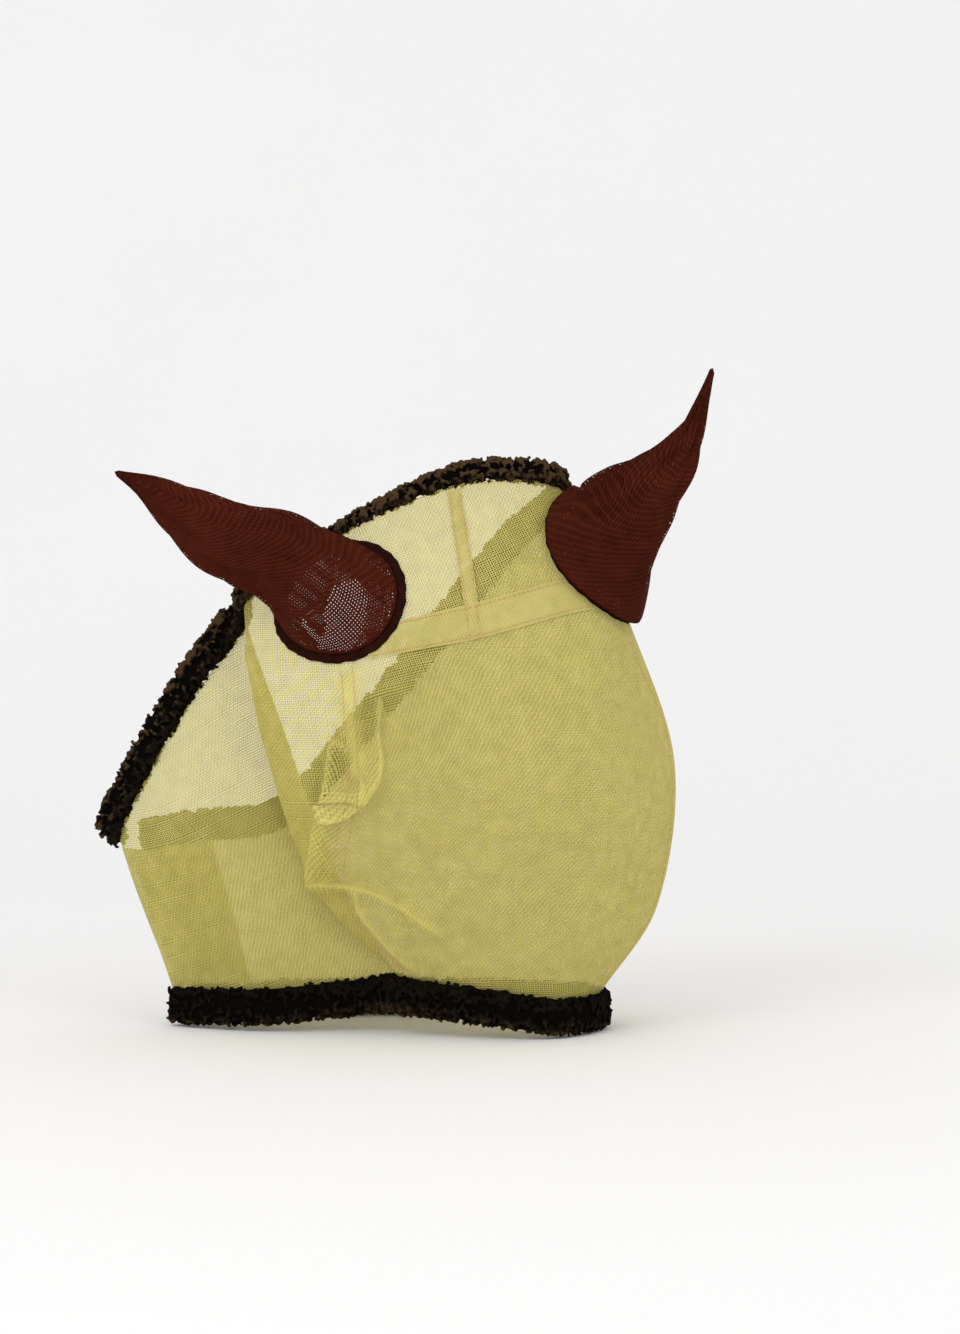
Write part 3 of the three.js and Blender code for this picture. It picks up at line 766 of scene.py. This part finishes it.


# Each fleece: its node, where it starts and ends, which edge it is on, how much painted highlight its tips
# get, most on the poll's fleece on top, and its body.
FLEECES = [
    ("nose_fleece_cheek", NOSE_FLEECE_ROOM[0], 3.5, 0, 0.8, "hood"),
    ("nose_fleece_face", 3.5, 8.4, 0, 0.8, "hood"),
    ("nose_fleece_hidden", 8.4, CLOSURE_FROM, 0, 0.8, "hood"),
    ("throat_fleece_cheek", THROAT_FLEECE_ROOM[0], 3.6, 1, 1.15, "hood"),
    ("throat_fleece_poll", 3.6, 8.3, 1, 1.6, "hood"),
    ("throat_fleece_hidden", 8.3, CLOSURE_FROM, 1, 1.15, "hood"),
    ("flap_nose_fleece", CLOSURE_FROM, JAW_FOLD - NOSE_FLEECE_ROOM[1], 0, 0.8, "flap"),
    ("flap_throat_fleece", CLOSURE_FROM, JAW_FOLD - THROAT_FLEECE_ROOM[1], 1, 1.15, "flap"),
]
for name, u0, u1, edge, tip_highlight, body in FLEECES:
    fleece(name + "_pile", u0, u1, edge, tip_highlight, body, name)


# ---- Bands and tapes ----
FACE_OUT = 0.0014
FLAP_OUT = CLOSURE_LAYER / 2 + 0.0012
POLL_TAPE = POLL_SEAM - 0.06, POLL_SEAM + 0.06
FLAP_BINDING = CLOSURE_FROM, CLOSURE_FROM + 0.2
STRIPS = [
    ("brow_band", 5.1, 7.02, BAND_START, BAND_END, FACE_OUT, -10, "hood", "brow_band"),
    ("poll_tape", *POLL_TAPE, BAND_END, 0.99, FACE_OUT, -10, "hood", "poll_centre_tape"),
    ("flap_binding", *FLAP_BINDING, 0.01, 0.99, FLAP_OUT, 0, "flap", "flap_edge_binding"),
    ("hook_tape", 12.95, 13.5, 0.08, 0.92, -0.0002, 0, "flap", "flap_hook_tape"),
    ("loop_tape", 12.95, 13.5, 0.08, 0.92, -0.0014, 0, "hood", "cheek_loop_tape"),
]
for name, u0, u1, low, high, out, grain, body, node in STRIPS:
    hook_or_loop = name in ("hook_tape", "loop_tape")
    looks = (LOOP_TAPE, "hook_and_loop") if hook_or_loop else (YELLOW_BAND, "yellow_tape")
    edges = straight(u0), straight(u1), low, high
    piece = panel(name + "_cloth", *edges, material=looks[0], grain=degrees(grain), out=out, cut=False)
    finish_piece(piece, body, node, slot=looks[1], flat=FLAT[name])


# ---- Ears ----
EAR_SIDES = 72


def ear_rings(ear):
    """Rings from the base oval to the tip, each EAR_SIDES points."""
    angles = np.linspace(0, 2 * math.pi, EAR_SIDES, endpoint=False)
    grow, out = ear["flare"]
    rings = [cloth(*oval(ear, angles), 0.0025), cloth(*oval(ear, angles, grow), out)]
    across = unit(np.array(ear["across"], float))
    front = np.array([0.0, -1.0, 0.0])
    for at, half, deep in ear["sections"]:
        centre = np.array(at) / 1000 + CAD_SHIFT
        sideways = across * (half / 1000 * np.cos(angles))[:, None]
        rings.append(centre + sideways + front * (deep / 1000 * np.sin(angles))[:, None])
    return np.array(rings), angles


def ear_surface(ear):
    """The net's rows of points from the ear's opening to its tip, its neck's row, and the neck's middles."""
    rings, angles = ear_rings(ear)
    middles = rings.mean(axis=1)
    knots = np.concatenate([[0], np.cumsum(np.linalg.norm(np.diff(middles, axis=0), axis=1))])
    t = np.linspace(0, knots[-1], round(knots[-1] / 0.0025))
    points = through(knots, rings, t)
    centre = points.mean(axis=1, keepdims=True)
    share = (t / knots[-1])[:, None]
    folds = 0.0022 * np.sin(5 * angles + 9 * share) + 0.0016 * np.sin(9 * angles - 14 * share + 1)
    fade = np.clip(share / 0.15, 0, 1) * np.clip((1 - share) / 0.35, 0, 1)
    points = points + unit(points - centre) * (folds * fade)[..., None]
    return points, np.searchsorted(t, knots[2]), middles[2:4]


def round_net(name, points, closed, keep):
    """A tube of net from rows of points along its ear. closed and keep are as for sheet_piece."""
    points, closed, keep = (np.concatenate([a, a[:, :1]], axis=1) for a in (points, closed, keep))
    piece = sheet_piece(name, points, flat_pattern(points, degrees(12)), BROWN_NET, keep, closed)
    merge_close(piece)
    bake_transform(piece)
    return piece


def outside_windows(ear, points):
    """Marks the points outside the ear's windows: each has a middle (x, z), radii and a lean in degrees."""
    keep = np.ones(points.shape[:2], bool)
    for middle, radii, lean in ear["windows"]:
        offset = points[..., [0, 2]] - np.array(middle) / 1000
        c, s = math.cos(degrees(lean)), math.sin(degrees(lean))
        across = (c * offset[..., 0] - s * offset[..., 1]) / (radii[0] / 1000)
        up = (s * offset[..., 0] + c * offset[..., 1]) / (radii[1] / 1000)
        keep &= np.hypot(across, up) > 1
    return keep


def ear_net(name, ear):
    """The ear's net, and the closer net inside it, which leaves the windows over its opening."""
    points, neck_row, neck = ear_surface(ear)
    centre = points.mean(axis=1, keepdims=True)
    tip = centre[-1:] + (centre[-1:] - centre[-3:-2]) * 0.6
    outer = np.concatenate([points, np.repeat(tip, EAR_SIDES, axis=1)])
    base = np.clip(1 - np.arange(len(outer)) / neck_row, 0, 1)
    closed = np.repeat(0.4 * base[:, None], EAR_SIDES, axis=1)
    piece = round_net(name + "_net", outer, closed, np.ones(closed.shape, bool))
    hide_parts(name + "_lower_net", name + "_front_net", name + "_back_net")
    inner = (centre + (points - centre) * 0.93)[round(ear["lining"] * neck_row) :]
    closed = np.full(inner.shape[:2], 0.6)
    round_net(name + "_lining", inner, closed, outside_windows(ear, inner))


def merge_close(piece):
    """Joins the points that lie on each other, where a sheet closes on itself."""
    mesh = bmesh.new()
    mesh.from_mesh(piece.data)
    bmesh.ops.remove_doubles(mesh, verts=mesh.verts, dist=1e-5)
    mesh.to_mesh(piece.data)
    mesh.free()


def tube(points, radius, sides=8, closed=False):
    """Vertices and faces of a tube along points; radius is one number or one for each point."""
    n = len(points)
    if closed:
        tangent = unit(np.roll(points, -1, axis=0) - np.roll(points, 1, axis=0))
    else:
        tangent = unit(np.gradient(points, axis=0))
    side = unit(np.cross(tangent, np.array([0.3, 0.5, 0.8])))
    up = np.cross(tangent, side)
    a = np.linspace(0, 2 * math.pi, sides, endpoint=False)
    radius = np.broadcast_to(radius, (n,))[:, None, None]
    spokes = side[:, None] * np.cos(a)[:, None] + up[:, None] * np.sin(a)[:, None]
    rings = points[:, None] + radius * spokes
    faces = [tuple(f) for f in grid_faces(n, sides, closed=True)]
    if closed:
        last = (n - 1) * sides
        faces += [(last + i, last + (i + 1) % sides, (i + 1) % sides, i) for i in range(sides)]
    else:
        faces += [tuple(range(sides))[::-1], tuple(range((n - 1) * sides, n * sides))]
    return rings.reshape(-1, 3), faces


def ear_binding(name, ear):
    """Folded tape round the ear's opening: a flattened, slightly puckered ring."""
    angles = np.linspace(0, 2 * math.pi, 160, endpoint=False)
    turns = np.linspace(0, 2 * math.pi, 14, endpoint=False)
    middle = cloth(*oval(ear, angles), 0.0022)
    outside = cloth(*oval(ear, angles, 0.12), 0.0022)
    away = unit(outside - middle)
    along = unit(np.roll(middle, -1, axis=0) - np.roll(middle, 1, axis=0))
    normal = unit(np.cross(along, away)) * ear["side"]
    pucker = 1 + 0.06 * np.sin(31 * angles) + 0.05 * np.sin(17 * angles + 2)
    half = BINDING_WIDTH / 2 * pucker
    rise = 0.0013 * (1 + 0.25 * np.sin(23 * angles))
    centre = middle + away * 0.0025
    rings = (
        centre[:, None]
        + away[:, None] * (half[:, None] * np.cos(turns))[..., None]
        + normal[:, None] * (rise[:, None] * np.sin(turns))[..., None]
    )
    rows = np.concatenate([rings, rings[:1]])
    rows = np.concatenate([rows, rows[:, :1]], axis=1)
    uv = flat_pattern(rows).reshape(-1, 2)[:, ::-1]
    faces = grid_faces(*rows.shape[:2])
    piece = make_object(name + "_binding_tape", rows.reshape(-1, 3), faces, DARK_BINDING, uv)
    merge_close(piece)
    node = name + "_binding"
    finish_piece(piece, "hood", node, slot="dark_binding", flat=FLAT[node], held="folded")


for name, ear in EARS.items():
    ear_net(name, ear)
    ear_binding(name, ear)


# ---- Stitching ----
def stitch_run(points, normals, pitch=STITCH_PITCH, size=0.0004, share=0.72):
    """Short stitches along a line of points, a little above the cloth."""
    steps = np.linalg.norm(np.diff(points, axis=0), axis=1)
    at = np.concatenate([[0], np.cumsum(steps)])
    vertices, faces = [], []
    for start in np.arange(0, at[-1] - pitch, pitch):
        t = start + pitch * share * np.linspace(0, 1, 5)
        line = np.stack([np.interp(t, at, points[:, k]) for k in range(3)], axis=1)
        normal = np.stack([np.interp(t, at, normals[:, k]) for k in range(3)], axis=1)
        arch = np.array([0.0, 0.8, 1.0, 0.8, 0.0])[:, None] * size
        radius = size * np.array([0.5, 0.95, 1.0, 0.95, 0.5])
        v, f = tube(line + normal * arch, radius, sides=6)
        base = sum(len(x) for x in vertices)
        vertices.append(v)
        faces += [tuple(i + base for i in face) for face in f]
    return np.concatenate(vertices), faces


def stitch_lines(name, runs, material, body, slot):
    """One piece of stitches for several (u, v) lines at given heights out of the cloth."""
    vertices, faces = [], []
    for u, v, out in runs:
        points = cloth(u, v, np.full(u.shape, out))
        v_run, f_run = stitch_run(points, cloth_frame(u, v)[2])
        base = sum(len(x) for x in vertices)
        vertices.append(v_run)
        faces += [tuple(i + base for i in face) for face in f_run]
    piece = make_object(name, np.concatenate(vertices), faces, material)
    finish_piece(piece, body, slot=slot)


def beside(line, low, high, shift, out, count=160):
    """A line of stitches beside a seam."""
    v = np.linspace(low, high, count)
    return line(v) + shift, v, out


def level(u0, u1, at, out, count=120):
    """A line of stitches at one height, round the mask."""
    u = np.linspace(u0, u1, count)
    return u, np.full(count, at), out


BAND_OUT = 0.0018
stitch_lines(
    "hood_stitching",
    [
        level(5.12, 7.0, BAND_START + 0.006, BAND_OUT),
        level(5.12, 7.0, BAND_END - 0.006, BAND_OUT),
        beside(straight(POLL_SEAM), BAND_START, 0.985, -0.045, BAND_OUT),
        beside(straight(POLL_SEAM), BAND_START, 0.985, 0.045, BAND_OUT),
        beside(RIGHT_DART, 0.03, BROW - 0.04, -0.03, 0.0006),
        beside(LEFT_DART, 0.03, BROW, 0.05, 0.0006),
        beside(LEFT_DART, 0.03, BROW, -0.05, 0.0006),
        beside(straight(CHEEK_SEAM), 0.03, 0.98, -0.08, 0.0006),
        beside(straight(HIDDEN_SEAM), 0.03, 0.98, -0.06, 0.0006),
        beside(straight(HIDDEN_SEAM), 0.03, 0.98, 0.06, 0.0006),
    ],
    PEACH_THREAD,
    "hood",
    "yellow_tape",
)
stitch_lines(
    "flap_stitching",
    [
        beside(straight(CLOSURE_FROM), 0.03, 0.97, 0.17, CLOSURE_LAYER / 2 + 0.0016),
        beside(straight(12.97), 0.09, 0.91, 0.0, CLOSURE_LAYER / 2 + 0.0006),
        beside(straight(13.48), 0.09, 0.91, 0.0, CLOSURE_LAYER / 2 + 0.0006),
    ],
    PEACH_THREAD,
    "flap",
    "yellow_tape",
)


# ---- Stage, light and camera ----
def stage():
    """A pale floor that curves up into a wall."""
    look = Look("paper", 0.9)
    shade = look.noise(look.position(), 3.0)
    look.colour(look.ramp(shade, (0.0, (0.9, 0.895, 0.895)), (1.0, (0.92, 0.915, 0.915))))
    wide, near, far, tall, bend = 6.0, -5.0, 2.6, 5.0, 1.4
    angle = np.linspace(0, math.pi / 2, 24)
    y = np.concatenate([[near], far - bend + bend * np.sin(angle), [far]])
    z = np.concatenate([[0], bend - bend * np.cos(angle), [tall]])
    rows = np.array([[(-wide, a, b), (wide, a, b)] for a, b in zip(y, z)])
    floor = make_object("paper_stage", rows.reshape(-1, 3), grid_faces(len(rows), 2), look.material)


def area_light(name, at, target, size, power):
    """A square lamp that faces a point."""
    data = bpy.data.lights.new(name, "AREA")
    data.shape = "SQUARE"
    data.size = size
    data.energy = power
    lamp = bpy.data.objects.new(name, data)
    lamp.location = at
    lamp.rotation_euler = (Vector(target) - Vector(at)).to_track_quat("-Z", "Y").to_euler()
    bpy.context.collection.objects.link(lamp)


def light_and_camera():
    """Soft white light from all round, two lamps, and the camera."""
    world = bpy.data.worlds.new("studio")
    world.use_nodes = True
    background = world.node_tree.nodes["Background"]
    background.inputs["Color"].default_value = (1, 1, 1, 1)
    background.inputs["Strength"].default_value = 0.88
    scene = bpy.context.scene
    scene.world = world
    area_light("key", (-1.6, -2.4, 2.4), (0, 0, 0.25), 1.6, 26)
    area_light("fill", (2.2, -2.0, 1.4), (0, 0, 0.25), 2.0, 10)
    camera = bpy.data.cameras.new("camera")
    camera.lens = 100
    camera.sensor_width = 36
    eye = bpy.data.objects.new("camera", camera)
    target = Vector((0.0667, 0.0, 0.3086))
    distance, elevation = 3.15, degrees(3)
    eye.location = target + distance * Vector((0, -math.cos(elevation), math.sin(elevation)))
    eye.rotation_euler = (target - eye.location).to_track_quat("-Z", "Y").to_euler()
    bpy.context.collection.objects.link(eye)
    scene.camera = eye
    scene.view_settings.view_transform = "Standard"


stage()
light_and_camera()
